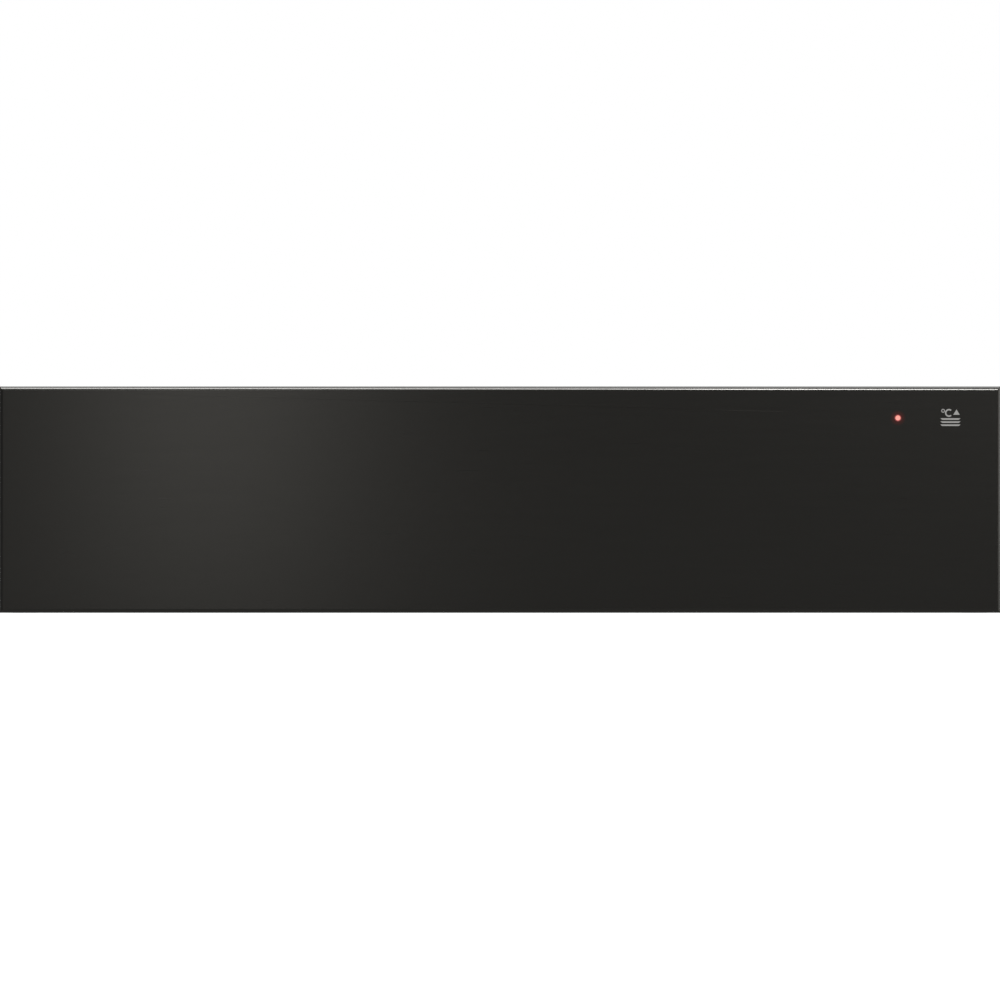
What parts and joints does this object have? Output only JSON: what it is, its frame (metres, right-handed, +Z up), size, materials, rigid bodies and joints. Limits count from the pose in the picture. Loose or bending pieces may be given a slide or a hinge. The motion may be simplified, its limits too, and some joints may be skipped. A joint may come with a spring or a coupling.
{
  "type": "built-in warming drawer",
  "caption": "Built-in hot-air warming drawer for a 14 cm niche: handle-less black steel front with status light, push-to-open latch, tray on ball-bearing runners.",
  "frame": {"origin": "middle of the footprint, on the niche's shelf", "axes": "+X to the viewer's right along the front, -Y out of the front (opening direction), +Z up"},
  "size_m": [0.597, 0.548, 0.1355],
  "materials": {
    "black_steel": "satin black steel, fine horizontal brushing",
    "galvanised_steel": "galvanised sheet",
    "stainless_steel": "brushed stainless",
    "zinc_steel": "bright zinc plating",
    "cage_steel": "yellow passivated zinc",
    "screw_steel": "plated",
    "mat_silicone": "matt silicone",
    "seal_silicone": "matt silicone",
    "insulation_wool": "glass wool felt",
    "box_plastic": "moulded",
    "white_plastic": "moulded polyamide",
    "latch_plastic": "moulded polyamide",
    "circuit_board": "solder mask",
    "red_light": "lit red",
    "touch_copper": "tinned copper",
    "coil_copper": "enamelled winding under tape",
    "heater_steel": "heat-darkened tube",
    "fan_aluminium": "pressed",
    "motor_iron": "laminated",
    "cable_sheath": "silicone sheath"
  },
  "bodies": {
    "housing": {"runner_outer_left": "zinc_steel", "runner_outer_right": "zinc_steel", "latch_body": "latch_plastic", "base_pan": "galvanised_steel", "top_cover": "galvanised_steel", "side_wall_left": "galvanised_steel", "side_wall_right": "galvanised_steel", "rear_panel": "galvanised_steel", "cavity_ceiling": "galvanised_steel", "cavity_rear_wall": "galvanised_steel", "insulation_mat": "insulation_wool", "wall_screws": "screw_steel", "housing_screws": "screw_steel", "cable_gland": "white_plastic", "fan_grille": "stainless_steel", "motor_stator": "motor_iron", "motor_coil": "coil_copper", "motor_bracket": "fan_aluminium", "heating_element": "heater_steel", "safety_thermostat": "white_plastic", "temperature_sensor": "screw_steel", "board_tray": "box_plastic", "power_board": "circuit_board", "terminal_block": "white_plastic", "wiring_harness": "cable_sheath", "control_cable": "cable_sheath"},
    "push_latch": {"latch_slider": "white_plastic"},
    "drawer": {"front_panel": "black_steel", "front_carrier": "galvanised_steel", "control_box": "box_plastic", "control_board": "circuit_board", "status_lens": "red_light", "touch_sensor": "touch_copper", "front_insulation": "insulation_wool", "door_seal": "seal_silicone", "front_screws": "screw_steel", "drawer_tray": "stainless_steel", "anti_slip_mat": "mat_silicone", "tray_bracket_left": "galvanised_steel", "tray_bracket_right": "galvanised_steel", "tray_screws": "screw_steel", "bracket_screws": "screw_steel", "runner_inner_left": "zinc_steel", "runner_inner_right": "zinc_steel", "latch_striker": "zinc_steel", "drawer_lead": "cable_sheath", "cable_clips": "white_plastic"},
    "middle_left": {"runner_middle_left": "zinc_steel"},
    "middle_right": {"runner_middle_right": "zinc_steel"},
    "outer_balls_left": {"outer_cage_left": "cage_steel"},
    "outer_balls_right": {"outer_cage_right": "cage_steel"},
    "inner_balls_left": {"inner_cage_left": "cage_steel"},
    "inner_balls_right": {"inner_cage_right": "cage_steel"},
    "fan": {"fan_impeller": "fan_aluminium", "fan_shaft": "screw_steel", "motor_rotor": "motor_iron"}
  },
  "joints": [
    {"name": "front_press", "type": "slide", "parent": "housing", "child": "push_latch", "axis": [0, -1, 0], "range_m": [-0.003, 0], "stiffness_N_per_m": 3000, "springref_m": 0.002, "deforming": ["door_seal"]},
    {"name": "drawer_slide", "type": "slide", "parent": "push_latch", "child": "drawer", "axis": [0, -1, 0], "range_m": [0, 0.42], "deforming": ["control_cable"]},
    {"name": "middle_left_slide", "type": "slide", "parent": "housing", "child": "middle_left", "axis": [0, -1, 0], "range_m": [0, 0.21]},
    {"name": "middle_right_slide", "type": "slide", "parent": "housing", "child": "middle_right", "axis": [0, -1, 0], "range_m": [0, 0.21]},
    {"name": "outer_balls_left_slide", "type": "slide", "parent": "housing", "child": "outer_balls_left", "axis": [0, -1, 0], "range_m": [0, 0.105]},
    {"name": "outer_balls_right_slide", "type": "slide", "parent": "housing", "child": "outer_balls_right", "axis": [0, -1, 0], "range_m": [0, 0.105]},
    {"name": "inner_balls_left_slide", "type": "slide", "parent": "housing", "child": "inner_balls_left", "axis": [0, -1, 0], "range_m": [0, 0.315]},
    {"name": "inner_balls_right_slide", "type": "slide", "parent": "housing", "child": "inner_balls_right", "axis": [0, -1, 0], "range_m": [0, 0.315]},
    {"name": "fan_spin", "type": "hinge", "parent": "housing", "child": "fan", "pos_m": [0, 0.19, 0.062], "axis": [0, 1, 0], "continuous": true}
  ],
  "couplings": [
    {"joint": "middle_left_slide", "follows": "drawer_slide", "ratio": 0.5},
    {"joint": "middle_right_slide", "follows": "drawer_slide", "ratio": 0.5},
    {"joint": "outer_balls_left_slide", "follows": "drawer_slide", "ratio": 0.25},
    {"joint": "outer_balls_right_slide", "follows": "drawer_slide", "ratio": 0.25},
    {"joint": "inner_balls_left_slide", "follows": "drawer_slide", "ratio": 0.75},
    {"joint": "inner_balls_right_slide", "follows": "drawer_slide", "ratio": 0.75}
  ]
}
